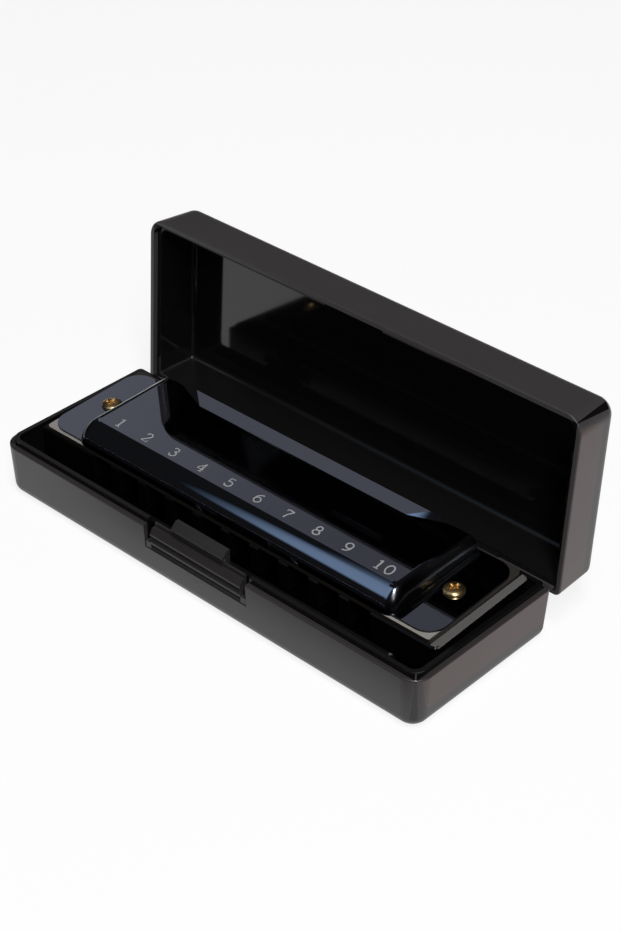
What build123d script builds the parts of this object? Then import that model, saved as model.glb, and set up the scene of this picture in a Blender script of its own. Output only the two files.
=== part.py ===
from build123d import *
import math
import os

# Hard plastic harmonica case, open, with a ten-hole harmonica lying in it.
# X runs along the case from the low notes to the high, -Y is the latch side, +Z is up.
# The origin is the centre of the underside. Everything is in millimetres.

# ---------------------------------------------------------------- harmonica
hole_count = 10
holes_to_length = 13.76

comb_length = 103.2
comb_width = 26.9
comb_height = 6.2
comb_corner_radius = 1.2
comb_edge_chamfer = 0.35
channel_width = 5.2
channel_stop_low = 5.9
channel_stop_high = 11.3

plate_end_edge = 1.6
plate_side_edge = 0.3
plate_thickness = 0.9
plate_corner_radius = 1.0

reed_thickness = 0.25
reed_width_low = 2.4
reed_width_high = 1.9
reed_mouth_gap_low = 2.7
reed_mouth_gap_high = 3.6
reed_pad = 3.0
reed_pad_width = 3.2
reed_slot_gap = 0.05
blow_reed_end_gap = 0.8
draw_reed_setback = 2.5
rivet_radius = 0.55
rivet_head_radius = 0.95
rivet_head_height = 0.35

sheet = 0.45
cover_end_setback = 0.1
cover_front_setback = 0.95
cover_rear_setback = 1.15
cover_corner_radius = 4.0
dome_end_setback = 9.3
dome_end_spread = 0.9
dome_end_radius = 2.6
dome_foot_radius = 1.0
dome_front_setback = 0.3
dome_crease_setback = 5.05
dome_crease_height = 4.55
dome_rear_setback = 2.25
dome_slope = -0.8
hem_radius = 0.8
hem_height = 1.3
nose_shift = 0.35
ramp_rise = 0.92
ramp_depth = 2.8
ramp_heel = 0.35
ramp_end_setback = 5.2
ramp_rear_taper = 4.9
ramp_fore_taper = 8.4

cover_screw_inset = 5.1
screw_head_radius = 2.1
screw_head_height = 0.95
screw_head_rounding = 0.66
screw_shank_radius = 0.95
screw_hole_gap = 0.1
screw_point = 0.4
recess_width = 0.55
recess_length = 2.3
recess_depth = 0.6
nut_across_flats = 4.0
nut_height = 1.3

plate_screw_end_inset = 12.6
plate_screw_rear_inset = 5.0
plate_screw_radius = 0.8
plate_screw_reach = 2.2
plate_screw_head_radius = 1.4
plate_screw_head_height = 0.7

# ---------------------------------------------------------------- case shells
wall = 2.1
floor = 1.5
end_gap = 1.05
front_gap = 6.35
rear_gap = 1.05
head_gap = 1.75
front_corner_radius = 3.9
rear_corner_radius = 1.5
least_corner_radius = 0.8
edge_radius = 2.7
draft_inset = 0.7
inner_edge_radius = 1.2
rim_edge_radius = 0.3

case_length = comb_length + 2 * (end_gap + wall)
case_width = comb_width + front_gap + rear_gap + 2 * wall
base_height = comb_height / 2 + plate_thickness + dome_crease_height + head_gap + floor
lid_height = base_height

lip_setback = 1.15
lip_height = 1.0
lip_clearance = 0.1
seam_gap = 0.1

harp_shift_x = -0.2
harp_turn = 0.5
harp_rest_gap = 0.05

# ---------------------------------------------------------------- hinges
open_angle = 92.9
hinge_offset_x = case_length / 2 - 18.5
hinge_axis_y = case_width / 2 - 0.75
hinge_axis_z = base_height - 3.05
knuckle_width = 7.0
knuckle_radius = 1.35
arm_thickness = 1.9
hinge_side_gap = 0.2
hinge_swing_gap = 0.3
hinge_pin_radius = 0.6
hinge_pin_grip = 1.5
pin_running_gap = 0.04
pin_end_gap = 0.1
boss_width = 2.6
boss_radius = 1.3
stop_reach = 2.7
stop_root = 0.3
stop_height = 1.5
stop_gap = 0.05

# ---------------------------------------------------------------- latch
notch_width = 26.9
notch_floor_z = base_height - 5.2
latch_width = 23.8
latch_foot_gap = 0.2
latch_foot_z = notch_floor_z + 0.25
latch_foot_top_z = latch_foot_z + 1.35
latch_pivot_setback = 1.0
latch_pivot_z = latch_foot_z + 0.7
trunnion_radius = 0.5
trunnion_length = 1.2
trunnion_gap = 0.05
rib_pitch = 2.0
rib_crest_z = notch_floor_z + 1.4
rib_crest_height = 0.45
rib_depth = 0.75
rib_setback = 0.1
latch_step_z = base_height - 0.2
latch_top_z = latch_step_z + 0.85
latch_step_setback = 1.6
latch_thickness = 2.0
hook_width = 13.6
hook_root_z = latch_step_z - 1.6
hook_nose_z = latch_top_z + 1.1
hook_top_z = hook_nose_z + 1.5
hook_neck_setback = 1.65
hook_nose_setback = 0.95
hook_nose_height = 0.2
hook_top_setback = 2.15
hook_thickness = 1.25
keeper_depth = 0.95
keeper_gap = 0.1
keeper_side_gap = 0.5
pocket_skin = 0.65
pocket_headroom = 0.5

# ---------------------------------------------------------------- worked out
lid_rim_z = base_height + seam_gap
hinge_axis = Axis((0, hinge_axis_y, hinge_axis_z), (1, 0, 0))
latch_pivot_y = -case_width / 2 + latch_pivot_setback + draft_inset * (1 - latch_pivot_z / base_height)

hole_pitch = comb_length / holes_to_length
comb_half = comb_height / 2
comb_front_y = -comb_width / 2
channel_depth_low = comb_width - channel_stop_low
channel_depth_high = comb_width - channel_stop_high
reed_swing_low = channel_depth_low - blow_reed_end_gap - reed_pad - reed_mouth_gap_low
reed_swing_high = channel_depth_high - blow_reed_end_gap - reed_pad - reed_mouth_gap_high
plate_outer = comb_half + plate_thickness
plate_length = comb_length - 2 * plate_end_edge

cover_length = plate_length - 2 * cover_end_setback
cover_width = comb_width - cover_front_setback - cover_rear_setback
cover_screw_x = cover_length / 2 - cover_screw_inset
cover_screw_spots = ((-cover_screw_x, 0.0), (cover_screw_x, 0.0))
plate_screw_x = plate_length / 2 - plate_screw_end_inset
plate_screw_y = comb_width / 2 - plate_screw_rear_inset
plate_screw_spots = ((-plate_screw_x, plate_screw_y), (0.0, plate_screw_y), (plate_screw_x, plate_screw_y))

dome_length = cover_length - 2 * dome_end_setback
slope = math.tan(math.radians(dome_slope))
crease_y = comb_front_y + dome_crease_setback
crease_z = plate_outer + dome_crease_height
dome_rear_y = comb_width / 2 - dome_rear_setback
dome_rear_z = crease_z + (dome_rear_y - crease_y) * slope
ramp_tip_x = dome_length / 2 - ramp_end_setback
ramp_crest_y = dome_rear_y - hem_radius

# The harmonica lies on the crease and the rear band of its lower cover, so its back is tipped up.
tip = math.atan(slope + ramp_rise / (ramp_crest_y - crease_y))
harp_y = case_width / 2 - wall - rear_gap - comb_width / 2
harp_z = floor + harp_rest_gap + crease_z * math.cos(tip) - crease_y * math.sin(tip)
harp_place = Pos(harp_shift_x, harp_y, harp_z) * Rot(math.degrees(tip), 0, harp_turn)


def block(length, width, height, x=0.0, y=0.0, z=0.0):
    """A box centred on x and y that stands on z."""
    return Pos(x, y, z + height / 2) * Box(length, width, height)


def cross_bar(radius, length, x, y, z):
    """A round bar along X, centred on x."""
    return Pos(x, y, z) * Rot(0, 90, 0) * Cylinder(radius, length)


def slab(length, width, radius, height, z=0.0):
    """A plate with rounded corners that stands on z."""
    return Pos(0, 0, z) * extrude(RectangleRounded(length, width, radius), height)


def case_outline(inset):
    """The case's outline in plan, set in all round. Its hinge side has the sharper corners."""
    outline = Rectangle(case_length - 2 * inset, case_width - 2 * inset)
    front_radius = max(front_corner_radius - inset, least_corner_radius)
    rear_radius = max(rear_corner_radius - inset, least_corner_radius)
    outline = fillet(outline.vertices().group_by(Axis.Y)[0], front_radius)
    return fillet(outline.vertices().group_by(Axis.Y)[-1], rear_radius)


def side_profile(points, width, x=0.0):
    """A Y-Z outline carried along X for the given width."""
    outline = Polyline(*[(0, y, z) for y, z in points], close=True)
    return Pos(x - width / 2, 0, 0) * extrude(make_face(outline), width, dir=(1, 0, 0))


def tray(inset, bottom, top, radius):
    """A drafted block with rounded corners and a rounded underside, set in from the case walls."""
    foot = Pos(0, 0, bottom) * case_outline(inset + draft_inset * (1 - bottom / top))
    body = loft([foot, Pos(0, 0, top) * case_outline(inset)])
    return fillet(body.edges().group_by(Axis.Z)[0], radius)


def shell(height):
    """One open half of the case, standing on its flat face with its rim up."""
    outside = tray(0, 0, height, edge_radius)
    outside = fillet(outside.edges().group_by(Axis.Z)[-1], rim_edge_radius)
    hollow = tray(wall, floor, height, inner_edge_radius)
    return outside - hollow


def front_y(z, setback):
    """Y of a point set back from the drafted front face at height z."""
    return -case_width / 2 + setback + draft_inset * max(0.0, 1 - z / base_height)


# ---------------------------------------------------------------- case base
def rim_lip():
    ring = case_outline(lip_setback) - case_outline(wall)
    return Pos(0, 0, base_height - floor) * extrude(ring, floor + lip_height)


def hinge_bosses(x):
    gap = knuckle_width + 2 * hinge_side_gap
    spread = (gap + boss_width) / 2
    bosses = cross_bar(boss_radius, boss_width, x - spread, hinge_axis_y, hinge_axis_z)
    return bosses + cross_bar(boss_radius, boss_width, x + spread, hinge_axis_y, hinge_axis_z)


def hinge_stop(x):
    """The rib under the knuckle that the opened lid's arm rests on, drawn where the lid is shut."""
    outer = case_width / 2 + stop_gap
    length = stop_reach + stop_root
    rib = block(knuckle_width, stop_height, length, x, outer + stop_height / 2, hinge_axis_z - stop_root)
    swing = cross_bar(knuckle_radius + hinge_swing_gap, knuckle_width, x, hinge_axis_y, hinge_axis_z)
    return rib.rotate(hinge_axis, -open_angle) - swing


def hinge_notch(x):
    width = knuckle_width + 2 * hinge_side_gap
    sill = hinge_axis_z - knuckle_radius - hinge_swing_gap
    opening = block(width, 3 * wall, base_height, x, case_width / 2 - wall / 2, sill)
    socket_span = width + 2 * (hinge_pin_grip + pin_end_gap)
    socket = cross_bar(hinge_pin_radius + pin_running_gap, socket_span, x, hinge_axis_y, hinge_axis_z)
    return opening + socket


def latch_notch():
    opening = block(
        notch_width, 3 * wall, base_height, 0, -case_width / 2 + wall / 2, notch_floor_z
    )
    span = notch_width - 2 * latch_foot_gap + 2 * (trunnion_length + pin_end_gap)
    return opening + cross_bar(trunnion_radius + trunnion_gap, span, 0, latch_pivot_y, latch_pivot_z)


def case_base():
    body = shell(base_height) + rim_lip()
    for x in (-hinge_offset_x, hinge_offset_x):
        body += hinge_bosses(x)
    for x in (-hinge_offset_x, hinge_offset_x):
        body -= hinge_notch(x)
    for x in (-hinge_offset_x, hinge_offset_x):
        body += hinge_stop(x)
    return body - latch_notch()


# ---------------------------------------------------------------- case lid
def rabbet():
    outline = case_outline(lip_setback - lip_clearance)
    return Pos(0, 0, lid_rim_z) * extrude(outline, lip_height + lip_clearance)


def knuckle(x):
    arm_height = lid_rim_z + lip_height + lip_clearance - hinge_axis_z
    arm_y = (case_width - arm_thickness) / 2
    arm = block(knuckle_width, arm_thickness, arm_height, x, arm_y, hinge_axis_z)
    barrel = cross_bar(knuckle_radius, knuckle_width, x, hinge_axis_y, hinge_axis_z)
    return arm + barrel - cross_bar(hinge_pin_radius, knuckle_width, x, hinge_axis_y, hinge_axis_z)


def keeper():
    """The bar inside the front wall that the hook catches under."""
    front = -case_width / 2 + lip_setback - lip_clearance
    back = -case_width / 2 + hook_neck_setback - keeper_gap
    width = hook_width + 2 * keeper_side_gap
    top = hook_nose_z - keeper_gap
    return block(width, back - front, keeper_depth, 0, (back + front) / 2, top - keeper_depth)


def hook_pocket():
    """Room in the front wall for the hook's head, and for its neck below the head."""
    width = hook_width + 2 * keeper_side_gap
    inner = -case_width / 2 + 2 * wall
    front = -case_width / 2 + pocket_skin
    bottom = hook_nose_z - keeper_gap
    height = hook_top_z + pocket_headroom - bottom
    head = block(width, inner - front, height, 0, (inner + front) / 2, bottom)
    neck_front = -case_width / 2 + hook_neck_setback - keeper_gap
    neck = block(width, inner - neck_front, height, 0, (inner + neck_front) / 2, bottom - keeper_depth)
    return head + neck


def case_lid():
    body = Pos(0, 0, lid_rim_z + lid_height) * Rot(0, 180, 0) * shell(lid_height)
    body -= rabbet()
    body += keeper()
    body -= hook_pocket()
    for x in (-hinge_offset_x, hinge_offset_x):
        body += knuckle(x)
    return body.rotate(hinge_axis, -open_angle)


def hinge_pin(x):
    length = knuckle_width + 2 * (hinge_side_gap + hinge_pin_grip)
    pin = cross_bar(hinge_pin_radius, length, x, hinge_axis_y, hinge_axis_z)
    return chamfer(pin.edges().filter_by(GeomType.CIRCLE), hinge_pin_radius / 4)


# ---------------------------------------------------------------- latch
def latch_outline():
    """Front of the thumb tab from foot to top: three ribs like roof tiles, a step and a low lip."""
    groove = rib_setback + rib_depth
    points = [(front_y(latch_foot_z, rib_setback), latch_foot_z)]
    for row in range(2):
        crest = rib_crest_z + row * rib_pitch
        points.append((front_y(crest, groove), crest - rib_crest_height))
        points.append((front_y(crest, groove), crest - rib_crest_height / 2))
        points.append((front_y(crest, rib_setback), crest))
        points.append((front_y(crest, rib_setback), crest + rib_crest_height))
    points.append((front_y(latch_step_z, groove), latch_step_z))
    points.append((front_y(latch_step_z, latch_step_setback), latch_step_z))
    points.append((front_y(latch_top_z, latch_step_setback), latch_top_z))
    points.append((front_y(latch_top_z, latch_thickness), latch_top_z))
    points.append((front_y(latch_foot_z, latch_thickness), latch_foot_z))
    return points


def hook_outline():
    neck = hook_neck_setback
    back = hook_neck_setback + hook_thickness
    return [
        (front_y(hook_root_z, neck), hook_root_z),
        (front_y(hook_nose_z, neck), hook_nose_z),
        (front_y(hook_nose_z, hook_nose_setback), hook_nose_z),
        (front_y(hook_nose_z, hook_nose_setback), hook_nose_z + hook_nose_height),
        (front_y(hook_top_z, hook_top_setback), hook_top_z),
        (front_y(hook_top_z, back), hook_top_z),
        (front_y(hook_root_z, back), hook_root_z),
    ]


def latch_end(side):
    """The flush foot beside the ribs, with the trunnion that runs in the notch's side."""
    inner = latch_width / 2
    outer = notch_width / 2 - latch_foot_gap
    front = front_y(latch_foot_z, rib_setback)
    back = front_y(latch_foot_z, latch_thickness)
    height = latch_foot_top_z - latch_foot_z
    foot = block(
        outer - inner, back - front, height, side * (outer + inner) / 2, (back + front) / 2, latch_foot_z
    )
    reach = outer + trunnion_length - inner
    x = side * (inner + reach / 2)
    return foot + cross_bar(trunnion_radius, reach, x, latch_pivot_y, latch_pivot_z)


def latch():
    tab = side_profile(latch_outline(), latch_width)
    return tab + side_profile(hook_outline(), hook_width) + latch_end(-1) + latch_end(1)


# ---------------------------------------------------------------- harmonica comb
def hole_x(index):
    return (index - (hole_count - 1) / 2) * hole_pitch


def along(index, low, high):
    """A size that falls evenly from the low hole to the high one."""
    return low + (high - low) * index / (hole_count - 1)


def through_holes(spots, radius, height):
    holes = Part()
    for x, y in spots:
        holes += Pos(x, y, 0) * Cylinder(radius, height)
    return holes


def comb():
    body = slab(comb_length, comb_width, comb_corner_radius, comb_height, -comb_half)
    body = chamfer(body.edges().group_by(Axis.Z)[0], comb_edge_chamfer)
    body = chamfer(body.edges().group_by(Axis.Z)[-1], comb_edge_chamfer)
    for index in range(hole_count):
        depth = along(index, channel_depth_low, channel_depth_high)
        channel = Box(channel_width, depth, comb_height)
        body -= Pos(hole_x(index), comb_front_y + depth / 2, 0) * channel
    body -= through_holes(cover_screw_spots, screw_shank_radius + screw_hole_gap, comb_height)
    pilots = through_holes(plate_screw_spots, plate_screw_radius, plate_screw_reach)
    drop = comb_half - plate_screw_reach / 2
    return body - Pos(0, 0, drop) * pilots - Pos(0, 0, -drop) * pilots


# ---------------------------------------------------------------- reeds and plates
def blow_reed_pad_y(index):
    """Middle of a blow reed's riveted pad, at the blind end of its channel."""
    depth = along(index, channel_depth_low, channel_depth_high)
    return comb_front_y + depth - blow_reed_end_gap - reed_pad / 2


def draw_reed_pad_y(index):
    """Middle of a draw reed's riveted pad, near the mouth."""
    return comb_front_y + draw_reed_setback + reed_pad / 2


def reed_slot(index, pad_y, toward):
    width = along(index, reed_width_low, reed_width_high) + 2 * reed_slot_gap
    length = along(index, reed_swing_low, reed_swing_high) + reed_slot_gap
    y = pad_y + toward * (reed_pad + length) / 2
    return Pos(hole_x(index), y, 0) * Box(width, length, plate_thickness)


def reed_plate(pad_y, toward):
    """A reed plate lying on z = 0, with its slots and rivet holes."""
    width = comb_width - 2 * plate_side_edge
    body = slab(plate_length, width, plate_corner_radius, plate_thickness, -plate_thickness / 2)
    for index in range(hole_count):
        body -= reed_slot(index, pad_y(index), toward)
        body -= Pos(hole_x(index), pad_y(index), 0) * Cylinder(rivet_radius, plate_thickness)
    body -= through_holes(cover_screw_spots, screw_shank_radius + screw_hole_gap, plate_thickness)
    return body - through_holes(plate_screw_spots, plate_screw_radius, plate_thickness)


def reed(index, pad_y, toward):
    width = along(index, reed_width_low, reed_width_high)
    length = along(index, reed_swing_low, reed_swing_high)
    pad = Pos(hole_x(index), pad_y, 0) * Box(reed_pad_width, reed_pad, reed_thickness)
    tongue = Box(width, length, reed_thickness)
    tongue = Pos(hole_x(index), pad_y + toward * (reed_pad + length) / 2, 0) * tongue
    return pad + tongue - Pos(hole_x(index), pad_y, 0) * Cylinder(rivet_radius, reed_thickness)


def rivets(pad_y, reed_face, plate_face):
    """One rivet a reed: a head under the reed and a shank up through reed and plate."""
    group = []
    for index in range(hole_count):
        spot = Pos(hole_x(index), pad_y(index), 0)
        height = plate_face - reed_face
        shank = spot * Pos(0, 0, reed_face + height / 2) * Cylinder(rivet_radius, height)
        head = spot * Pos(0, 0, reed_face - rivet_head_height / 2)
        group.append(shank + head * Cylinder(rivet_head_radius, rivet_head_height))
    return Compound(children=group)


def plate_screws(side):
    """Three small screws that hold one reed plate to the comb."""
    length = plate_thickness + plate_screw_reach
    group = []
    for x, y in plate_screw_spots:
        shank = Cylinder(plate_screw_radius, length)
        head = Cylinder(plate_screw_head_radius, plate_screw_head_height)
        shank = Pos(x, y, side * (plate_outer - length / 2)) * shank
        group.append(shank + Pos(x, y, side * (plate_outer + plate_screw_head_height / 2)) * head)
    return Compound(children=group)


# ---------------------------------------------------------------- covers
def dome_outline(skin):
    """The dome's Y-Z section: a quarter-ellipse nose, the flat and a rear edge rolled down."""
    foot_z = plate_outer - skin
    top = crease_z - skin
    nose_y = crease_y - nose_shift * skin
    nose_reach = nose_y - (comb_front_y + dome_front_setback + skin)
    nose = EllipticalCenterArc((nose_y, foot_z), nose_reach, top - foot_z, start_angle=90, arc_size=90)
    rest = Polyline(nose @ 1, (dome_rear_y, foot_z), (dome_rear_y, dome_rear_z - skin), nose @ 0)
    return make_face([nose, rest])


def dome_prism(skin):
    """The dome as one solid block from the reed plate up, drawn inside the sheet by skin."""
    foot_z = plate_outer - skin
    length = dome_length + 2 * (dome_end_spread - skin)
    prism = extrude(Plane.YZ * dome_outline(skin), length / 2, both=True) & dome_ends(length, foot_z)
    ends = prism.faces().sort_by(Axis.X)
    rim = ends[0].edges() + ends[-1].edges()
    rim = rim.filter_by(lambda edge: edge.center().Z > foot_z + skin)
    rim = rim.filter_by(lambda edge: edge.center().Y < dome_rear_y - sheet)
    return fillet(rim, dome_end_radius - skin)


def dome_ends(length, foot_z):
    """A long wedge whose two ends lean in as the dome's ends do."""
    height = crease_z + comb_height
    lean = dome_end_spread / dome_crease_height * (height - foot_z)
    half = length / 2
    ends = Polyline(
        (-half, foot_z), (half, foot_z), (half - lean, height), (lean - half, height), close=True
    )
    return extrude(Plane.XZ * make_face(ends), comb_width, both=True)


def ramp(skin):
    """The band along the rear of the flat that is pressed up a little, tapering to points."""
    rear_z = dome_rear_z - skin
    fore_y = ramp_crest_y - ramp_depth
    fore_z = rear_z - (dome_rear_y - fore_y) * slope
    crest_z = rear_z - hem_radius * slope + ramp_rise
    heel_y = ramp_crest_y + ramp_heel
    heel_z = rear_z - hem_radius + math.sqrt(hem_radius**2 - ramp_heel**2) - hem_radius * slope
    crest_x = ramp_tip_x - ramp_rear_taper
    fore_x = ramp_tip_x - ramp_fore_taper
    heel_left = Vector(-ramp_tip_x, heel_y, heel_z)
    heel_right = Vector(ramp_tip_x, heel_y, heel_z)
    crest_left = Vector(-crest_x, ramp_crest_y, crest_z)
    crest_right = Vector(crest_x, ramp_crest_y, crest_z)
    fore_left = Vector(-fore_x, fore_y, fore_z)
    fore_right = Vector(fore_x, fore_y, fore_z)
    outlines = [
        [crest_left, crest_right, fore_right, fore_left],
        [heel_left, crest_left, fore_left],
        [heel_right, fore_right, crest_right],
        [heel_left, heel_right, crest_right, crest_left],
        [heel_left, fore_left, fore_right, heel_right],
    ]
    return Solid(Shell([Face(Wire.make_polygon(outline)) for outline in outlines]))


def hem():
    """What the rolled rear edge takes off the dome's square back corner."""
    centre_z = dome_rear_z - hem_radius * (1 + slope)
    corner = block(comb_length, hem_radius, 2 * hem_radius, 0, dome_rear_y - hem_radius / 2, centre_z)
    return corner - cross_bar(hem_radius, comb_length, 0, dome_rear_y - hem_radius, centre_z)


def foot_cove(side):
    """The hollow curve between the dome's end and the flange."""
    top = plate_outer + sheet
    foot_x = dome_length / 2 + dome_end_spread * (1 - sheet / dome_crease_height)
    depth = dome_rear_y - crease_y + nose_shift
    middle = (dome_rear_y + crease_y - nose_shift) / 2
    x = side * foot_x
    strip = block(2 * dome_foot_radius, depth, dome_foot_radius, x, middle, top)
    centre = Pos(x + side * dome_foot_radius, middle, top + dome_foot_radius)
    return strip - centre * Rot(90, 0, 0) * Cylinder(dome_foot_radius, depth)


def cover():
    """A pressed sheet cover over the upper reed plate, open at the back under its rolled hem."""
    flange = slab(cover_length, cover_width, cover_corner_radius, sheet, plate_outer)
    flange = Pos(0, comb_front_y + cover_front_setback + cover_width / 2, 0) * flange
    opening = block(2 * ramp_tip_x, comb_width, 2 * sheet, 0, dome_rear_y + comb_width / 2, plate_outer)
    lip = block(dome_length, sheet, 2 * hem_height, 0, dome_rear_y - sheet / 2, dome_rear_z - hem_height)
    outside = dome_prism(0) - hem() + ramp(0)
    hollow = dome_prism(sheet) + ramp(sheet) - lip
    body = flange - opening + foot_cove(-1) + foot_cove(1) + outside - hollow
    return body - through_holes(cover_screw_spots, screw_shank_radius + screw_hole_gap, 4 * crease_z)


def cover_screw(x):
    top = plate_outer + sheet
    shank_length = 2 * top + nut_height + screw_point
    shank = Pos(x, 0, top - shank_length / 2) * Cylinder(screw_shank_radius, shank_length)
    head = Pos(x, 0, top + screw_head_height / 2) * Cylinder(screw_head_radius, screw_head_height)
    head = fillet(head.edges().group_by(Axis.Z)[-1], screw_head_rounding)
    z = top + screw_head_height - recess_depth / 2
    cross = Pos(x, 0, z) * Box(recess_length, recess_width, recess_depth)
    cross += Pos(x, 0, z) * Box(recess_width, recess_length, recess_depth)
    return shank + head - cross


def cover_nut(x):
    nut = extrude(RegularPolygon(nut_across_flats / 2, 6, major_radius=False), nut_height)
    nut = Pos(x, 0, -plate_outer - sheet - nut_height) * nut
    return nut - Pos(x, 0, -plate_outer) * Cylinder(screw_shank_radius, 4 * nut_height)


# ---------------------------------------------------------------- writing out
def harmonica_parts():
    upper_plate = Pos(0, 0, comb_half + plate_thickness / 2) * reed_plate(blow_reed_pad_y, -1)
    lower_plate = Pos(0, 0, -comb_half - plate_thickness / 2) * reed_plate(draw_reed_pad_y, 1)
    upper_cover = cover()
    parts = {
        "comb": comb(),
        "blow_reed_plate": upper_plate,
        "draw_reed_plate": lower_plate,
        "blow_reed_rivets": rivets(blow_reed_pad_y, comb_half - reed_thickness, plate_outer),
        "draw_reed_rivets": rivets(draw_reed_pad_y, -plate_outer - reed_thickness, -comb_half),
        "blow_plate_screws": plate_screws(1),
        "draw_plate_screws": plate_screws(-1),
        "upper_cover": upper_cover,
        "lower_cover": mirror(upper_cover, Plane.XY),
        "cover_screw_left": cover_screw(-cover_screw_x),
        "cover_screw_right": cover_screw(cover_screw_x),
        "cover_nut_left": cover_nut(-cover_screw_x),
        "cover_nut_right": cover_nut(cover_screw_x),
    }
    for index in range(hole_count):
        blow_z = comb_half - reed_thickness / 2
        draw_z = -plate_outer - reed_thickness / 2
        parts[f"blow_reed_{index + 1}"] = Pos(0, 0, blow_z) * reed(index, blow_reed_pad_y(index), -1)
        parts[f"draw_reed_{index + 1}"] = Pos(0, 0, draw_z) * reed(index, draw_reed_pad_y(index), 1)
    return {name: harp_place * shape for name, shape in parts.items()}


def case_parts():
    return {
        "case_base": case_base(),
        "case_lid": case_lid(),
        "hinge_pin_left": hinge_pin(-hinge_offset_x),
        "hinge_pin_right": hinge_pin(hinge_offset_x),
        "latch": latch(),
    }


os.makedirs("parts", exist_ok=True)
for name, shape in {**case_parts(), **harmonica_parts()}.items():
    export_step(shape, f"parts/{name}.step")
    print(name, round(shape.volume, 2))
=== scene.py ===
import math

import bmesh
import bpy
from mathutils import Matrix, Vector


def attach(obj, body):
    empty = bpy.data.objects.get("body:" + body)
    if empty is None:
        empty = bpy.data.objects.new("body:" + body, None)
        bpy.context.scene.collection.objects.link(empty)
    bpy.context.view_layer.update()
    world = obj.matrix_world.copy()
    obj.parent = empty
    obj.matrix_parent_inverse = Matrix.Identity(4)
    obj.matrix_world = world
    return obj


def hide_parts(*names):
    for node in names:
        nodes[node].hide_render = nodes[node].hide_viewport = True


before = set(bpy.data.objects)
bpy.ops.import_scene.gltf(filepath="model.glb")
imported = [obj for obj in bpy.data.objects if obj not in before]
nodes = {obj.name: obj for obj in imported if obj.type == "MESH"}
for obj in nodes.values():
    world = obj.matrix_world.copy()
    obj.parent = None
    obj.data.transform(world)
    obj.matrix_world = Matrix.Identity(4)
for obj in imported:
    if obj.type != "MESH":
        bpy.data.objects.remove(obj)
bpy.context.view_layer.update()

mm = 0.001


# ------------------------------------------------------------------ camera
# A long lens looks down on the open case from its latch side and its high-note end.
# It leans a little, so the case runs downhill to the right.
camera_azimuth = math.radians(42.328)
camera_elevation = math.radians(34.724)
camera_roll = math.radians(0.718)
camera_place = Vector((0.223513, -0.232434, 0.245921))

back = Vector((
    math.sin(camera_azimuth) * math.cos(camera_elevation),
    -math.cos(camera_azimuth) * math.cos(camera_elevation),
    math.sin(camera_elevation),
))
level_right = (-back).cross(Vector((0, 0, 1))).normalized()
level_up = level_right.cross(-back)
right = math.cos(camera_roll) * level_right + math.sin(camera_roll) * level_up
up = -math.sin(camera_roll) * level_right + math.cos(camera_roll) * level_up
lens = bpy.data.cameras.new("camera")
lens.sensor_width = 36
lens.lens = 80.19
lens.clip_start = 0.01
camera = bpy.data.objects.new("camera", lens)
camera.matrix_world = (
    Matrix.Translation(camera_place) @ Matrix((right, up, back)).transposed().to_4x4())
bpy.context.scene.collection.objects.link(camera)
bpy.context.scene.camera = camera


# ------------------------------------------------------------------ case shells
# Two trays of injection-moulded black plastic. The outside has the satin skin of the mould,
# and the inside comes from a polished core, so it is blacker and shines like glass.
# The outer end wall at the high-note end (+X) is painted a touch paler and warmer, as painted light
# falling on it from the right.
def new_group(name, inputs, outputs):
    """An empty node group with the sockets of an effect that several finishes share."""
    group = bpy.data.node_groups.new(name, "ShaderNodeTree")
    for label, kind, value in inputs:
        socket = group.interface.new_socket(label, in_out="INPUT", socket_type=kind)
        if value is not None:
            socket.default_value = value
    for label, kind in outputs:
        group.interface.new_socket(label, in_out="OUTPUT", socket_type=kind)
    return group, group.nodes.new("NodeGroupInput"), group.nodes.new("NodeGroupOutput")


def add(tree, kind, wires=None, **settings):
    """A node with its settings, and each named or numbered input wired or given a value."""
    node = tree.nodes.new(kind)
    for name, value in settings.items():
        setattr(node, name, value)
    for socket, value in (wires or {}).items():
        if isinstance(value, bpy.types.NodeSocket):
            tree.links.new(value, node.inputs[socket])
        else:
            node.inputs[socket].default_value = value
    return node


def calculate(tree, operation, one, other=0.0):
    """A sum on one number or two."""
    return add(tree, "ShaderNodeMath", {0: one, 1: other}, operation=operation).outputs[0]


def calculate_vector(tree, operation, one, other):
    """A sum on two vectors."""
    return add(tree, "ShaderNodeVectorMath", {0: one, 1: other}, operation=operation).outputs[0]


def rescale(tree, value, start, end, low=0.0, high=1.0, steps="LINEAR"):
    """Carries a number from start and end over to low and high, and holds it beyond them."""
    return add(tree, "ShaderNodeMapRange", {"Value": value, 1: start, 2: end, 3: low, 4: high},
               interpolation_type=steps).outputs[0]


def blend(tree, factor, low, high):
    """A number between two others, the low one where factor is 0."""
    return add(tree, "ShaderNodeMix", {0: factor, 2: low, 3: high}).outputs[0]


def blend_vectors(tree, factor, low, high):
    """A vector between two others, the low one where factor is 0."""
    return add(tree, "ShaderNodeMix", {0: factor, 4: low, 5: high}, data_type="VECTOR").outputs[1]


def blend_colours(tree, factor, low, high):
    """A colour between two others, the low one where factor is 0."""
    return add(tree, "ShaderNodeMix", {0: factor, 6: low, 7: high}, data_type="RGBA").outputs[2]


def axes(tree, vector):
    """The X, Y and Z of a vector."""
    return add(tree, "ShaderNodeSeparateXYZ", {0: vector}).outputs


def coordinates(tree, kind):
    """The piece's own Object coordinates, or its Normal."""
    return tree.nodes.new("ShaderNodeTexCoord").outputs[kind]


def finish_material(name):
    """A material with its Principled shader, and the Object coordinates that its pattern reads."""
    material = bpy.data.materials.new(name)
    material.use_nodes = True
    tree = material.node_tree
    tree.nodes.clear()
    shader = tree.nodes.new("ShaderNodeBsdfPrincipled")
    output = tree.nodes.new("ShaderNodeOutputMaterial")
    tree.links.new(shader.outputs["BSDF"], output.inputs["Surface"])
    return material, tree, shader, coordinates(tree, "Object")


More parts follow.
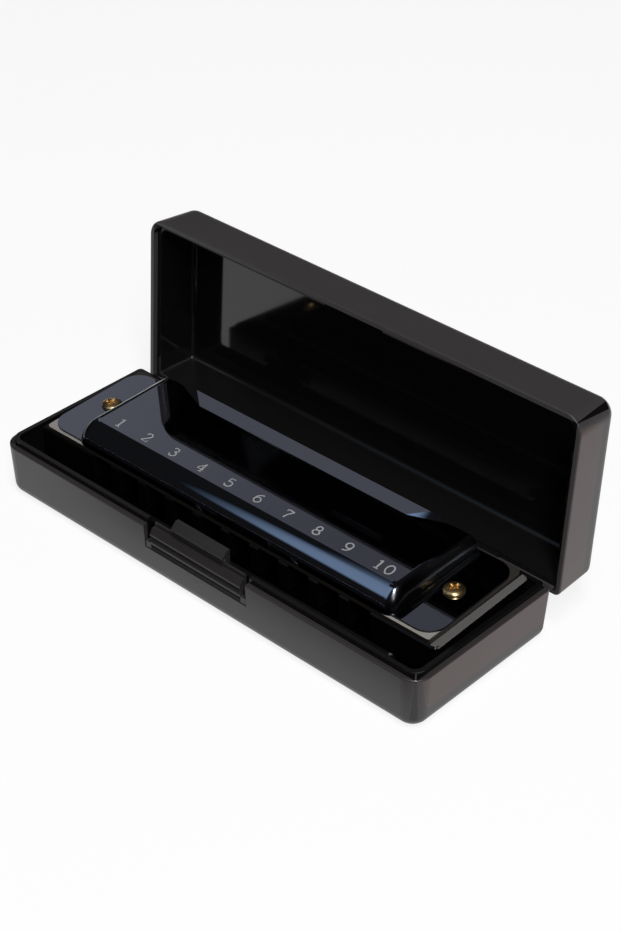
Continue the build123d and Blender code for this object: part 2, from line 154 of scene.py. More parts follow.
def finish_surface(tree, shader, colour, gloss, height, strength, depth):
    """Wires the colour, the roughness and the fine relief of a finish into its shader."""
    bump = add(tree, "ShaderNodeBump", {"Height": height, "Strength": strength, "Distance": depth})
    tree.links.new(colour, shader.inputs["Base Color"])
    tree.links.new(gloss, shader.inputs["Roughness"])
    tree.links.new(bump.outputs[0], shader.inputs["Normal"])


def wear(node, material):
    """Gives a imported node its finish."""
    for slot in nodes[node].material_slots:
        slot.material = material


grain_group, grain_in, grain_out = new_group(
    "surface_grain",
    [("Place", "NodeSocketVector", None), ("Size", "NodeSocketFloat", 400.0),
     ("Stretch", "NodeSocketVector", (1.0, 1.0, 1.0))],
    [("Height", "NodeSocketFloat"), ("Blotch", "NodeSocketFloat")],
)
stretched = calculate_vector(
    grain_group, "MULTIPLY", grain_in.outputs["Place"], grain_in.outputs["Stretch"])
fine = add(grain_group, "ShaderNodeTexNoise", {
    "Vector": stretched, "Scale": grain_in.outputs["Size"], "Detail": 3.0, "Roughness": 0.6})
blotch = add(grain_group, "ShaderNodeTexNoise", {
    "Vector": grain_in.outputs["Place"], "Scale": 55.0, "Detail": 2.0, "Roughness": 0.5})
grain_group.links.new(fine.outputs["Fac"], grain_out.inputs["Height"])
grain_group.links.new(blotch.outputs["Fac"], grain_out.inputs["Blotch"])


def grain(tree, place, size, stretch=(1.0, 1.0, 1.0)):
    """The grain's Height and Blotch. Size is how many to a metre, and stretch draws it out."""
    return add(tree, "ShaderNodeGroup", {"Place": place, "Size": size, "Stretch": stretch},
               node_tree=grain_group).outputs


inside_group, inside_in, inside_out = new_group(
    "inside_of_tray",
    [("Place", "NodeSocketVector", None), ("Half length", "NodeSocketFloat", 53.65 * mm),
     ("Half width", "NodeSocketFloat", 18.2 * mm)],
    [("Inside", "NodeSocketFloat")],
)
tray = axes(inside_group, inside_in.outputs["Place"])
gone_x = calculate(inside_group, "ABSOLUTE", tray["X"])
gone_y = calculate(inside_group, "ABSOLUTE", tray["Y"])
in_x = calculate(inside_group, "LESS_THAN", gone_x, inside_in.outputs["Half length"])
in_y = calculate(inside_group, "LESS_THAN", gone_y, inside_in.outputs["Half width"])
in_z = calculate(inside_group, "GREATER_THAN", tray["Z"], 0.0)
in_plan = calculate(inside_group, "MULTIPLY", in_x, in_y)
inside_group.links.new(
    calculate(inside_group, "MULTIPLY", in_plan, in_z), inside_out.inputs["Inside"])
end_wall = 54.3 * mm


def case_plastic(name, location, turn, paler, dull_below):
    """Black plastic. location and turn lay the tray floor down, with z 0 in its floor.
    The polished inside is dull where the piece, as it stands open, is below dull_below."""
    material, tree, shader, place = finish_material(name)
    laid = add(tree, "ShaderNodeMapping", {"Vector": place, "Location": location, "Rotation": turn})
    inside = add(tree, "ShaderNodeGroup", {"Place": laid.outputs[0]},
                 node_tree=inside_group).outputs["Inside"]
    skin_grain = grain(tree, place, 2600.0)
    blotch = skin_grain["Blotch"]
    skin = blend_colours(tree, blotch, (0.039 + paler, 0.0335 + paler, 0.034 + paler, 1),
                         (0.049 + paler, 0.043 + paler, 0.0435 + paler, 1))
    facing = axes(tree, coordinates(tree, "Normal"))
    # Painted light: the outer end wall facing +X is painted paler and warmer, as if lit from the
    # right.
    end_facing = rescale(tree, facing["X"], 0.6, 0.97, steps="SMOOTHSTEP")
    spot = axes(tree, place)
    outermost = calculate(tree, "GREATER_THAN", spot["X"], end_wall)
    painted_light_end = calculate(tree, "MULTIPLY", end_facing, outermost)
    skin_with_painted_light = blend_colours(tree, painted_light_end, skin, (0.080 + paler, 0.052 + paler, 0.047 + paler, 1))
    colour = blend_colours(tree, inside, skin_with_painted_light, (0.0060, 0.0057, 0.0057, 1))
    satin = rescale(tree, blotch, 0.0, 1.0, 0.34, 0.44)
    polish = rescale(tree, blotch, 0.0, 1.0, 0.05, 0.10)
    by_hinge = rescale(tree, spot["Z"], dull_below + 1.5 * mm, dull_below, steps="SMOOTHSTEP")
    gloss = blend(tree, inside, satin, blend(tree, by_hinge, polish, 0.36))
    outside = calculate(tree, "SUBTRACT", 1.0, inside)
    relief = calculate(tree, "MULTIPLY", skin_grain["Height"], outside)
    finish_surface(tree, shader, colour, gloss, relief, 0.35, 0.02 * mm)
    shader.inputs["IOR"].default_value = 1.5
    return material


mid_floor = 0.75 * mm
case_height = 23.6 * mm
hinge_y, hinge_z = 18.5 * mm, 8.75 * mm
open_turn = math.radians(92.9)
closed_y = hinge_y - (math.cos(open_turn) * hinge_y - math.sin(open_turn) * hinge_z)
closed_z = hinge_z - (math.sin(open_turn) * hinge_y + math.cos(open_turn) * hinge_z)
wear("case_base", case_plastic("base_plastic", (0, 0, -mid_floor), (0, 0, 0), 0.0, -mm))
wear("case_lid", case_plastic(
    "lid_plastic", (0, -closed_y, case_height - mid_floor - closed_z),
    (open_turn + math.pi, 0, 0), 0.02, 13 * mm))


# ------------------------------------------------------------------ latch
# A springy catch in the same plastic, with roof-tile ribs for the thumb and a hook above.
# It turns on two moulded stubs in the front wall.
latch_skin, tree, shader, place = finish_material("latch_plastic")
latch_grain = grain(tree, place, 2400.0)
colour = blend_colours(
    tree, latch_grain["Blotch"], (0.030, 0.027, 0.027, 1), (0.040, 0.036, 0.036, 1))
gloss = rescale(tree, latch_grain["Blotch"], 0.0, 1.0, 0.28, 0.38)
finish_surface(tree, shader, colour, gloss, latch_grain["Height"], 0.3, 0.02 * mm)
shader.inputs["IOR"].default_value = 1.5
wear("latch", latch_skin)


# ------------------------------------------------------------------ hinge pins
# Two short drawn steel pins, pressed into the lid's arms behind the case. Their finish is
# made as every other metal's is, from a colour, a gloss and the fine lines of the work.
def metal(name, dark, light, low, high, size, stretch, strength):
    """A metal finish. low and high bound the roughness, and stretch draws its lines out."""
    material, tree, shader, place = finish_material(name)
    lines = grain(tree, place, size, stretch)
    colour = blend_colours(tree, lines["Blotch"], (*dark, 1), (*light, 1))
    gloss = rescale(tree, lines["Blotch"], 0.0, 1.0, low, high)
    finish_surface(tree, shader, colour, gloss, lines["Height"], strength, 0.01 * mm)
    shader.inputs["Metallic"].default_value = 1.0
    return material


pin_steel = metal(
    "pin_steel", (0.45, 0.45, 0.46), (0.55, 0.55, 0.56), 0.22, 0.32, 900.0, (0.15, 1.0, 1.0), 0.3)
wear("hinge_pin_left", pin_steel)
wear("hinge_pin_right", pin_steel)


# ------------------------------------------------------------------ comb
# The moulded black body of the harmonica, with ten square channels open at the front.
# Its upward-facing end ledge at the high notes is painted pale grey, as a painted sheen of light on
# it.
comb_plastic, tree, shader, place = finish_material("comb_plastic")
comb_grain = grain(tree, place, 1800.0)
black = blend_colours(
    tree, comb_grain["Blotch"], (0.0025, 0.0022, 0.0022, 1), (0.004, 0.0035, 0.0034, 1))
ledge_start = 49.9 * mm
# Painted sheen: the upward-facing ledge past ledge_start is painted pale grey.
at_end = calculate(tree, "GREATER_THAN", axes(tree, place)["X"], ledge_start)
upward = calculate(tree, "GREATER_THAN", axes(tree, coordinates(tree, "Normal"))["Z"], 0.7)
painted_sheen_ledge = calculate(tree, "MULTIPLY", at_end, upward)
colour = blend_colours(tree, painted_sheen_ledge, black, (0.15, 0.142, 0.14, 1))
gloss = rescale(tree, comb_grain["Blotch"], 0.0, 1.0, 0.16, 0.24)
finish_surface(tree, shader, colour, gloss, comb_grain["Height"], 0.4, 0.02 * mm)
shader.inputs["Specular IOR Level"].default_value = 0.2
wear("comb", comb_plastic)


# ------------------------------------------------------------------ reed plates, reeds and rivets
# Brass plates above and below the comb, the upper one nickel-plated. The lower plate's brass is
# painted dark, as painted shade deep in the case. Each reed is a ground brass strip, filed along
# its length and held at its heel by a brass rivet. The nickel's faces that do not look up are
# painted dark as painted shade, and it is painted darker toward the back and the right end, as
# painted shade under the cover and its flange.
evenly, along_x, along_y = (1.0, 1.0, 1.0), (0.12, 1.0, 1.0), (1.0, 0.12, 1.0)
plate_metal = metal(
    "plate_nickel", (0.78, 0.74, 0.68), (0.88, 0.84, 0.78), 0.46, 0.56, 700.0, along_x, 0.35)
tree = plate_metal.node_tree
shader = tree.nodes["Principled BSDF"]
shader.inputs["Metallic"].default_value = 0.74
bare = shader.inputs["Base Color"].links[0].from_socket
# Painted shade: the nickel's faces that do not look up are painted dark.
upward = rescale(tree, axes(tree, coordinates(tree, "Normal"))["Z"], 0.35, 0.75)
painted_shade_sides = blend_colours(tree, upward, (0.07, 0.06, 0.05, 1), bare)
spot = axes(tree, coordinates(tree, "Object"))
# Painted shade under the cover: darker toward the back, and past band_start at the right end.
shade_depth, band_start, band_full = 9.0 * mm, 49.45 * mm, 49.65 * mm
rear = rescale(tree, spot["Y"], 0.0, shade_depth, steps="SMOOTHSTEP")
far_end = rescale(tree, spot["X"], band_start, band_full)
painted_shade_under_cover = calculate(tree, "MAXIMUM", rear, far_end)
tree.links.new(
    blend_colours(tree, painted_shade_under_cover, painted_shade_sides, (0.10, 0.09, 0.08, 1)), shader.inputs["Base Color"])
# The lower plate's brass is painted dark, as painted shade deep in the case.
plate_brass_painted_shade = metal(
    "plate_brass_painted_shade", (0.22, 0.16, 0.09), (0.28, 0.20, 0.11), 0.12, 0.18, 700.0, along_x, 0.05)
reed_brass = metal(
    "reed_brass", (0.60, 0.42, 0.17), (0.72, 0.52, 0.24), 0.20, 0.34, 1500.0, along_y, 0.5)
rivet_brass = metal(
    "rivet_brass", (0.55, 0.38, 0.16), (0.68, 0.49, 0.22), 0.22, 0.34, 1200.0, evenly, 0.3)
wear("blow_reed_plate", plate_metal)
wear("draw_reed_plate", plate_brass_painted_shade)
for side in ("blow", "draw"):
    wear(f"{side}_reed_rivets", rivet_brass)
    for hole in range(1, 11):
        wear(f"{side}_reed_{hole}", reed_brass)


# ------------------------------------------------------------------ screws and nuts
# Turned brass. The cover screws go through to nuts, and have domed pan heads with a cross
# recess.
screw_brass = metal(
    "screw_brass", (0.60, 0.38, 0.13), (0.88, 0.66, 0.36), 0.20, 0.38, 1000.0, evenly, 1.0)
for node in ("blow_plate_screws", "draw_plate_screws", "cover_nut_left", "cover_nut_right"):
    wear(node, screw_brass)
harmonica_place = (
    Matrix.Translation((-0.2 * mm, 2.65 * mm, 10.388 * mm))
    @ Matrix.Rotation(math.radians(2.003), 4, "X")
    @ Matrix.Rotation(math.radians(0.5), 4, "Z")
)
flange_top = 4.45 * mm
head_radius, head_height, dome_foot = 2.1 * mm, 0.95 * mm, 0.24 * mm
shank_radius, shank_end = 0.95 * mm, -10.6 * mm
recess_depth, recess_mouth = 0.75 * mm, 0.62 * mm
dome_steps = 12
profile = [(0, shank_end), (0.72 * mm, shank_end), (shank_radius, shank_end + 0.25 * mm),
           (shank_radius, 0), (head_radius - 0.15 * mm, 0), (head_radius, 0.08 * mm)]
for step in range(dome_steps + 1):
    angle = math.radians(90) * step / dome_steps
    profile.append((head_radius * math.cos(angle),
                    dome_foot + (head_height - dome_foot) * math.sin(angle)))
profile[-1] = (0, head_height)


def link(name, data):
    """A mesh, curve or lamp as an object of the scene."""
    piece = bpy.data.objects.new(name, data)
    bpy.context.scene.collection.objects.link(piece)
    return piece


def finished_mesh(piece):
    """The mesh that a curve or a modified piece ends up as."""
    bpy.context.view_layer.update()
    depsgraph = bpy.context.evaluated_depsgraph_get()
    return bpy.data.meshes.new_from_object(piece.evaluated_get(depsgraph))


def cover_screw(name, screw_x, turned):
    """A domed screw, spun from its profile, with a cross cut into its head and turned by hand."""
    bm = bmesh.new()
    wing = bmesh.ops.create_cone(bm, cap_ends=True, segments=4, radius1=0.62 * mm,
                                 radius2=1.3 * mm, depth=recess_depth)
    bmesh.ops.rotate(bm, verts=wing["verts"], matrix=Matrix.Rotation(math.radians(45), 3, "Z"))
    bmesh.ops.scale(bm, verts=wing["verts"], vec=(1.75, 0.44, 1))
    other_wing = bmesh.ops.duplicate(bm, geom=bm.faces[:] + bm.edges[:] + bm.verts[:])
    crossed = [part for part in other_wing["geom"] if isinstance(part, bmesh.types.BMVert)]
    bmesh.ops.rotate(bm, verts=crossed, matrix=Matrix.Rotation(math.radians(90), 3, "Z"))
    bmesh.ops.create_cone(bm, cap_ends=True, segments=20, radius1=0.3 * mm,
                          radius2=recess_mouth, depth=recess_depth + 0.07 * mm)
    bmesh.ops.translate(bm, verts=bm.verts, vec=(0, 0, head_height - 0.2 * mm))
    cutter_mesh = bpy.data.meshes.new("recess_cutter")
    bm.to_mesh(cutter_mesh)
    bm.free()
    cutter = link("recess_cutter", cutter_mesh)

    bm = bmesh.new()
    points = [bm.verts.new((radius, 0, height)) for radius, height in profile]
    lines = [bm.edges.new(pair) for pair in zip(points, points[1:])]
    bmesh.ops.spin(bm, geom=points + lines, cent=(0, 0, 0), axis=(0, 0, 1), angle=math.tau,
                   steps=48, use_merge=True)
    bmesh.ops.remove_doubles(bm, verts=bm.verts, dist=0.001 * mm)
    bmesh.ops.recalc_face_normals(bm, faces=bm.faces)
    blank_mesh = bpy.data.meshes.new("screw_blank")
    bm.to_mesh(blank_mesh)
    bm.free()
    blank = link("screw_blank", blank_mesh)
    cut = blank.modifiers.new("recess", "BOOLEAN")
    cut.operation, cut.solver, cut.object, cut.use_self = "DIFFERENCE", "EXACT", cutter, True
    screw_mesh = finished_mesh(blank)
    for spare in (blank, cutter):
        bpy.data.objects.remove(spare)
    screw_mesh.transform(harmonica_place @ Matrix.Translation((screw_x, 0, flange_top))
                         @ Matrix.Rotation(math.radians(turned), 4, "Z"))
    screw_mesh.shade_smooth()
    screw_mesh.set_sharp_from_angle(angle=math.radians(38))
    screw_mesh.materials.clear()
    screw_mesh.materials.append(screw_brass)
    return link(name, screw_mesh)


for name, screw_x, turned in (("left", -44.8 * mm, 24), ("right", 44.8 * mm, -11)):
    screw = cover_screw(f"domed_cover_screw_{name}", screw_x, turned)
    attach(screw, "harmonica")
    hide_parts(f"cover_screw_{name}")


# ------------------------------------------------------------------ covers
# Two pressed steel covers, plated and polished to a dark blue-grey mirror. The lower one lies
# in the case and is scuffed. The upper one's rounded front shades as a true quarter ellipse
# below a crisp crease. Its ends are duller and painted dark, darkest toward the front, as a painted
# dark reflection, and its cut edges are painted dark as painted shade.
plated_dark, plated_light = (0.40, 0.43, 0.53), (0.42, 0.45, 0.55)
wear("lower_cover", metal(
    "lower_cover_plate", plated_dark, plated_light, 0.30, 0.40, 130.0, evenly, 0.02))
upper_metal = metal(
    "upper_cover_plate", plated_dark, plated_light, 0.015, 0.035, 130.0, evenly, 0.02)
wear("upper_cover", upper_metal)
tree = upper_metal.node_tree
shader = tree.nodes["Principled BSDF"]
harmonica_turn = harmonica_place.to_euler("XYZ")
own = add(tree, "ShaderNodeMapping", {
    "Vector": coordinates(tree, "Object"), "Location": harmonica_place.translation,
    "Rotation": harmonica_turn}, vector_type="TEXTURE").outputs[0]
spot = axes(tree, own)

crease_y, crease_z = -8.4 * mm, 8.55 * mm
flat_slope = math.tan(math.radians(-0.8))
nose_deep, nose_high = 4.75 * mm, 4.55 * mm
nose_axis = (0, crease_y, crease_z - nose_high)
nose_half_length, nose_foot = 38.0 * mm, 4.47 * mm
least_forward, past_crease = -1.95 * mm, -0.9 * mm
from_axis = calculate_vector(tree, "SUBTRACT", own, nose_axis)
held_forward = calculate_vector(tree, "MINIMUM", from_axis, (1, least_forward, 1))
gradient = calculate_vector(
    tree, "MULTIPLY", held_forward, (0, 1 / nose_deep ** 2, 1 / nose_high ** 2))
reach = add(tree, "ShaderNodeVectorMath", {0: from_axis, 1: gradient}, operation="DOT_PRODUCT")
far_along = calculate(tree, "ABSOLUTE", spot["X"])
nose = calculate(tree, "GREATER_THAN", reach.outputs["Value"], 0.93)
for mask in (calculate(tree, "LESS_THAN", far_along, nose_half_length),
             calculate(tree, "LESS_THAN", spot["Y"], crease_y),
             calculate(tree, "GREATER_THAN", spot["Z"], nose_foot)):
    nose = calculate(tree, "MULTIPLY", nose, mask)
turning = calculate(tree, "LESS_THAN", axes(tree, from_axis)["Y"], past_crease)
outward = blend_vectors(tree, turning, (0, -flat_slope, 1), gradient)
turned_out = add(tree, "ShaderNodeMapping", {"Vector": outward, "Rotation": harmonica_turn},
                 vector_type="VECTOR")
to_world = add(tree, "ShaderNodeVectorTransform", {0: turned_out.outputs[0]},
               vector_type="NORMAL", convert_from="OBJECT", convert_to="WORLD")
unit = add(tree, "ShaderNodeVectorMath", {0: to_world.outputs[0]}, operation="NORMALIZE")
as_pressed = tree.nodes.new("ShaderNodeNewGeometry").outputs["Normal"]
tree.links.new(blend_vectors(tree, nose, as_pressed, unit.outputs[0]),
               tree.nodes["Bump"].inputs["Normal"])

polish = shader.inputs["Roughness"].links[0].from_socket
plated = shader.inputs["Base Color"].links[0].from_socket
upward = axes(tree, coordinates(tree, "Normal"))["Z"]
dome_end, flange_start, flange_edge = 38.6 * mm, 39.8 * mm, 47.0 * mm
dark_front, dark_back = -6.0 * mm, -1.0 * mm
at_end = rescale(tree, far_along, dome_end, flange_start)
steep = rescale(tree, upward, 0.985, 0.93)
duller_and_painted_dark = calculate(tree, "MULTIPLY", at_end, steep)
# Painted dark reflection: the duller ends are painted dark, darkest toward the front.
rearward = rescale(tree, spot["Y"], dark_front, dark_back)
painted_dark_ends = blend_colours(tree, rearward, (0.035, 0.036, 0.04, 1), (0.15, 0.155, 0.17, 1))
# Painted shade: the flange's upright cut edges are painted near black.
upright = calculate(tree, "LESS_THAN", upward, 0.6)
outermost = calculate(tree, "GREATER_THAN", far_along, flange_edge)
painted_dark_cut_edge = calculate(tree, "MULTIPLY", upright, outermost)
end_gloss = blend(tree, duller_and_painted_dark, polish, 0.24)
tree.links.new(blend(tree, painted_dark_cut_edge, end_gloss, 0.5), shader.inputs["Roughness"])
end_colour_painted_dark = blend_colours(tree, duller_and_painted_dark, plated, painted_dark_ends)
tree.links.new(blend_colours(tree, painted_dark_cut_edge, end_colour_painted_dark, (0.035, 0.035, 0.04, 1)),
               shader.inputs["Base Color"])


# ------------------------------------------------------------------ hole numbers
# Plain numbers from 1 to 10, etched pale along the front of the cover, one over each hole.
# Each stroke is a round bead pressed almost flat into the metal.
number_width, number_height, number_slant = 2.85 * mm, 2.55 * mm, -0.1
digit_step, digit_shift, pressed_flat = 0.85, -0.3, 0.18
first_foot, hole_pitch = Vector((-34.2 * mm, -8.3 * mm, 0)), 7.488 * mm
stout, thick, thin = 0.21 * mm, 0.175 * mm, 0.12 * mm
strokes = {
    "0": [(thick, True, [(0.30, 0.0), (0.07, 0.22), (0.03, 0.5), (0.07, 0.78), (0.30, 1.0),
                         (0.53, 0.78), (0.57, 0.5), (0.53, 0.22)])],
    "1": [(stout, False, [(0.30, 0.0), (0.30, 0.5), (0.30, 1.0)]),
          (thin, False, [(0.30, 0.99), (0.20, 0.89), (0.10, 0.86)]),
          (thin, False, [(0.12, 0.0), (0.30, 0.0), (0.48, 0.0)])],
    "2": [(thick, False, [(0.07, 0.76), (0.14, 0.94), (0.31, 1.0), (0.49, 0.91), (0.51, 0.70),
                          (0.36, 0.42), (0.06, 0.04)]),
          (thin, False, [(0.05, 0.02), (0.30, 0.02), (0.53, 0.03), (0.57, 0.20)])],
    "3": [(thick, False, [(0.08, 0.82), (0.17, 0.97), (0.33, 0.99), (0.48, 0.86), (0.45, 0.64),
                          (0.26, 0.54)]),
          (thick, False, [(0.26, 0.54), (0.48, 0.46), (0.55, 0.25), (0.43, 0.05), (0.24, 0.0),
                          (0.08, 0.07), (0.06, 0.19)])],
    "4": [(thick, False, [(0.42, 0.0), (0.42, 0.5), (0.42, 1.0)]),
          (thin, False, [(0.42, 1.0), (0.22, 0.64), (0.03, 0.29)]),
          (thin, False, [(0.03, 0.28), (0.30, 0.28), (0.58, 0.28)]),
          (thin, False, [(0.29, 0.0), (0.42, 0.0), (0.55, 0.0)])],
    "5": [(thin, False, [(0.15, 0.98), (0.32, 0.96), (0.52, 1.0)]),
          (thin, False, [(0.15, 0.98), (0.13, 0.76), (0.11, 0.55)]),
          (thick, False, [(0.11, 0.55), (0.30, 0.63), (0.50, 0.52), (0.55, 0.30), (0.44, 0.07),
                          (0.24, 0.0), (0.08, 0.07), (0.06, 0.18)])],
    "6": [(thick, False, [(0.52, 0.97), (0.30, 0.90), (0.11, 0.66), (0.05, 0.36)]),
          (thick, True, [(0.30, 0.0), (0.10, 0.13), (0.05, 0.33), (0.14, 0.53), (0.32, 0.60),
                         (0.50, 0.50), (0.56, 0.29), (0.48, 0.09)])],
    "7": [(thick, False, [(0.07, 0.97), (0.30, 0.97), (0.56, 0.97)]),
          (thin, False, [(0.07, 0.98), (0.05, 0.88), (0.05, 0.78)]),
          (thick, False, [(0.56, 0.97), (0.36, 0.58), (0.24, 0.28), (0.21, 0.0)])],
    "8": [(thick, True, [(0.30, 0.53), (0.13, 0.63), (0.11, 0.83), (0.30, 1.0), (0.49, 0.83),
                         (0.47, 0.63)]),
          (thick, True, [(0.30, 0.53), (0.09, 0.40), (0.05, 0.20), (0.30, 0.0), (0.55, 0.20),
                         (0.51, 0.40)])],
    "9": [(thick, False, [(0.08, 0.03), (0.30, 0.10), (0.49, 0.34), (0.55, 0.64)]),
          (thick, True, [(0.30, 1.0), (0.50, 0.87), (0.55, 0.67), (0.46, 0.47), (0.28, 0.40),
                         (0.10, 0.50), (0.04, 0.71), (0.12, 0.91)])],
}


def stroke_mesh(radius, closed, points, start):
    """One stroke of a digit, drawn as a round bead through its points."""
    curve = bpy.data.curves.new("number_stroke", "CURVE")
    curve.dimensions = "3D"
    curve.bevel_depth = radius
    curve.bevel_resolution = 2
    curve.resolution_u = 5
    curve.use_fill_caps = True
    spline = curve.splines.new("BEZIER")
    spline.bezier_points.add(len(points) - 1)
    for knot, (across, rise) in zip(spline.bezier_points, points):
        height = rise * number_height
        knot.co = ((across + start) * number_width + number_slant * height, height, 0)
        knot.handle_left_type = knot.handle_right_type = "AUTO"
    spline.use_cyclic_u = closed
    stroke = link("number_stroke", curve)
    bead = finished_mesh(stroke)
    bpy.data.objects.remove(stroke)
    return bead


bm = bmesh.new()
for hole in range(10):
    foot = first_foot + Vector((hole_pitch * hole, 0, 0))
    for order, digit in enumerate(str(hole + 1)):
        for radius, closed, points in strokes[digit]:
            bead = stroke_mesh(radius, closed, points, order * digit_step + digit_shift)
            bead.transform(Matrix.Translation(foot) @ Matrix.Diagonal((1, 1, pressed_flat, 1)))
            bm.from_mesh(bead)
            bpy.data.meshes.remove(bead)
for vertex in bm.verts:
    vertex.co.z += crease_z + (vertex.co.y - crease_y) * flat_slope
bmesh.ops.transform(bm, matrix=harmonica_place, verts=bm.verts)
for face in bm.faces:
    face.smooth = True
numbers_mesh = bpy.data.meshes.new("hole_numbers")
bm.to_mesh(numbers_mesh)
bm.free()
hole_numbers = link("hole_numbers", numbers_mesh)
etched, tree, shader, place = finish_material("etched_metal")
etched_grain = grain(tree, place, 3000.0)
colour = blend_colours(tree, etched_grain["Blotch"], (0.44, 0.44, 0.46, 1), (0.52, 0.52, 0.54, 1))
bump = add(tree, "ShaderNodeBump", {
    "Height": etched_grain["Height"], "Strength": 0.5, "Distance": 0.02 * mm})
tree.links.new(colour, shader.inputs["Base Color"])
tree.links.new(bump.outputs[0], shader.inputs["Normal"])
shader.inputs["Roughness"].default_value = 0.7
numbers_mesh.materials.append(etched)
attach(hole_numbers, "harmonica")


# ------------------------------------------------------------------ floor
# A wide pale table. It shows white, and keeps a faint shadow under the case.
floor_mesh = bpy.data.meshes.new("floor")
bm = bmesh.new()
bmesh.ops.create_grid(bm, x_segments=1, y_segments=1, size=6)
bm.to_mesh(floor_mesh)
bm.free()
floor = link("floor", floor_mesh)
pale = bpy.data.materials.new("pale_table")
pale.use_nodes = True
tree = pale.node_tree
tree.nodes.clear()
matt = add(tree, "ShaderNodeBsdfDiffuse", {"Color": (0.8, 0.8, 0.8, 1)})
glow = add(tree, "ShaderNodeEmission", {"Color": (1, 1, 1, 1), "Strength": 0.85})
faint = add(tree, "ShaderNodeBsdfDiffuse", {"Color": (0.22, 0.22, 0.22, 1)})
shown_white = add(tree, "ShaderNodeAddShader", {0: glow.outputs[0], 1: faint.outputs[0]})
ray = tree.nodes.new("ShaderNodeLightPath").outputs
seen = calculate(tree, "ADD", ray["Is Camera Ray"], ray["Is Glossy Ray"])
seen = calculate(tree, "ADD", seen, ray["Is Transmission Ray"])
mixed = add(tree, "ShaderNodeMixShader", {0: seen, 1: matt.outputs[0], 2: shown_white.outputs[0]})
add(tree, "ShaderNodeOutputMaterial", {"Surface": mixed.outputs[0]})
floor_mesh.materials.append(pale)


# ------------------------------------------------------------------ light
# A tall softbox high at the front right, and a dim strip high at the left. Reflections also meet
# a grey panel behind, a small blue-lit panel close in front, and a black card on the table.
def softbox(name, place, aim, width, height, brightness, colour=(1, 1, 1)):
    """A rectangular lamp whose face has the given brightness. Its height runs nearly upright."""
    lamp = bpy.data.lights.new(name, "AREA")
    lamp.shape = "RECTANGLE"
    lamp.size, lamp.size_y = width, height
    lamp.energy = brightness * math.pi * width * height
    lamp.color = colour
    box = link(name, lamp)
    box.visible_camera = False
    face = (Vector(place) - Vector(aim)).normalized()
    across = Vector((0, 0, 1)).cross(face).normalized()
    box.matrix_world = (
        Matrix.Translation(place)
        @ Matrix((across, face.cross(across), face)).transposed().to_4x4())


def card(name, corners):
    """A flat card met only by reflections. Gives its material's tree, and its X, Y and Z."""
    mesh = bpy.data.meshes.new(name)
    bm = bmesh.new()
    bm.faces.new([bm.verts.new(corner) for corner in corners])
    bm.to_mesh(mesh)
    bm.free()
    board = link(name, mesh)
    board.visible_camera = board.visible_diffuse = board.visible_shadow = False
    board.visible_transmission = board.visible_volume_scatter = False
    material = bpy.data.materials.new(name)
    material.use_nodes = True
    tree = material.node_tree
    tree.nodes.clear()
    mesh.materials.append(material)
    return tree, axes(tree, coordinates(tree, "Object"))


def cut_out(tree, solid, shader):
    """Ends a card's material in its shader where solid is 1, and in nothing where it is 0."""
    clear = add(tree, "ShaderNodeBsdfTransparent")
    both = add(tree, "ShaderNodeMixShader", {0: solid, 1: clear.outputs[0], 2: shader.outputs[0]})
    add(tree, "ShaderNodeOutputMaterial", {"Surface": both.outputs[0]})


softbox("softbox_key", place=(0.402, -0.300, 0.866), aim=(0, 0, 0), width=0.15, height=0.90,
        brightness=17.0)
softbox("strip_ramp", place=(-0.39, 0.096, 0.60), aim=(-0.389, 0.0961, 0.02), width=0.04,
        height=0.24, brightness=0.13, colour=(0.95, 0.93, 1.0))

panel_left, panel_middle, panel_right = -0.152, -0.095, 0.006
panel_foot_y, panel_foot_z = -0.177, 0.098
panel_head_y, panel_head_z = -0.015, 0.303
tree, spot = card("near_panel", [
    (panel_left, panel_foot_y, panel_foot_z), (panel_right, panel_foot_y, panel_foot_z),
    (panel_right, panel_head_y, panel_head_z), (panel_left, panel_head_y, panel_head_z)])
from_left = rescale(tree, spot["X"], panel_left, panel_middle, 0.0, 0.8, "SMOOTHSTEP")
brighter = rescale(tree, spot["X"], panel_middle, panel_right, 0.0, 0.25)
level = calculate(tree, "ADD", from_left, brighter)
for axis, edge, within in (("X", panel_right, panel_right - 0.004),
                           ("Z", panel_foot_z, panel_foot_z + 0.035),
                           ("Z", panel_head_z, panel_head_z - 0.03)):
    faded = rescale(tree, spot[axis], edge, within, steps="SMOOTHSTEP")
    level = calculate(tree, "MULTIPLY", level, faded)
ray = tree.nodes.new("ShaderNodeLightPath").outputs
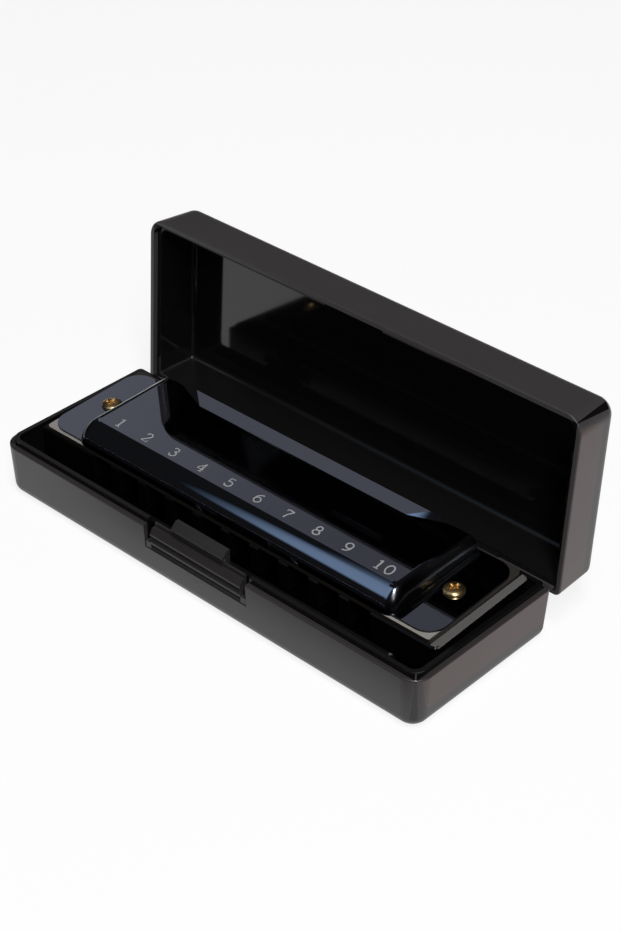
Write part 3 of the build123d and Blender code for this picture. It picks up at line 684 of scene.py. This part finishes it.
first_bounce = calculate(tree, "LESS_THAN", ray["Ray Depth"], 1.5)
panel_brightness, solidity = 0.56, 25.0
for factor in (first_bounce, panel_brightness):
    level = calculate(tree, "MULTIPLY", level, factor)
lit = add(tree, "ShaderNodeEmission", {"Color": (0.56, 0.76, 1.0, 1), "Strength": level})
solid = add(tree, "ShaderNodeMath", {0: level, 1: solidity}, operation="MULTIPLY", use_clamp=True)
cut_out(tree, solid.outputs[0], lit)

tree, spot = card("grey_panel", [
    (-0.392, 0.647, 0.374), (-0.694, 0.301, 0.374), (-0.548, 0.173, 0.626), (-0.246, 0.519, 0.626)])
level = rescale(tree, spot["X"], -0.40, -0.54, 0.098, 0.182)
lit = add(tree, "ShaderNodeEmission", {"Color": (0.96, 0.94, 1.0, 1), "Strength": level})
add(tree, "ShaderNodeOutputMaterial", {"Surface": lit.outputs[0]})

card_near, card_far, card_lift = 0.6, -3.0, 0.0006
tree, spot = card("black_card", [
    (card_far, card_far, card_lift), (card_near, card_far, card_lift),
    (card_near, card_near, card_lift), (card_far, card_near, card_lift)])


def fade(axis, start, end):
    """Rises smoothly from 0 to 1 along an axis of the card."""
    return rescale(tree, spot[axis], start, end, steps="SMOOTHSTEP")


black = calculate(tree, "MULTIPLY", fade("Y", -0.021, -0.035), fade("X", -0.055, -0.020))
black = calculate(tree, "MAXIMUM", black, fade("Y", -0.036, -0.050))
black = calculate(tree, "MULTIPLY", black, fade("X", -0.150, -0.130))
black = calculate(tree, "MAXIMUM", black, fade("Y", -0.070, -0.095))
black = calculate(tree, "MAXIMUM", black, fade("X", 0.115, 0.160))
cut_out(tree, black, add(tree, "ShaderNodeBsdfDiffuse", {"Color": (0.01, 0.01, 0.01, 1)}))

room = bpy.data.worlds.new("room")
room.use_nodes = True
room.node_tree.nodes["Background"].inputs["Color"].default_value = (1.0, 0.97, 0.98, 1)
room.node_tree.nodes["Background"].inputs["Strength"].default_value = 0.012
bpy.context.scene.world = room
bpy.context.scene.view_settings.view_transform = "Standard"
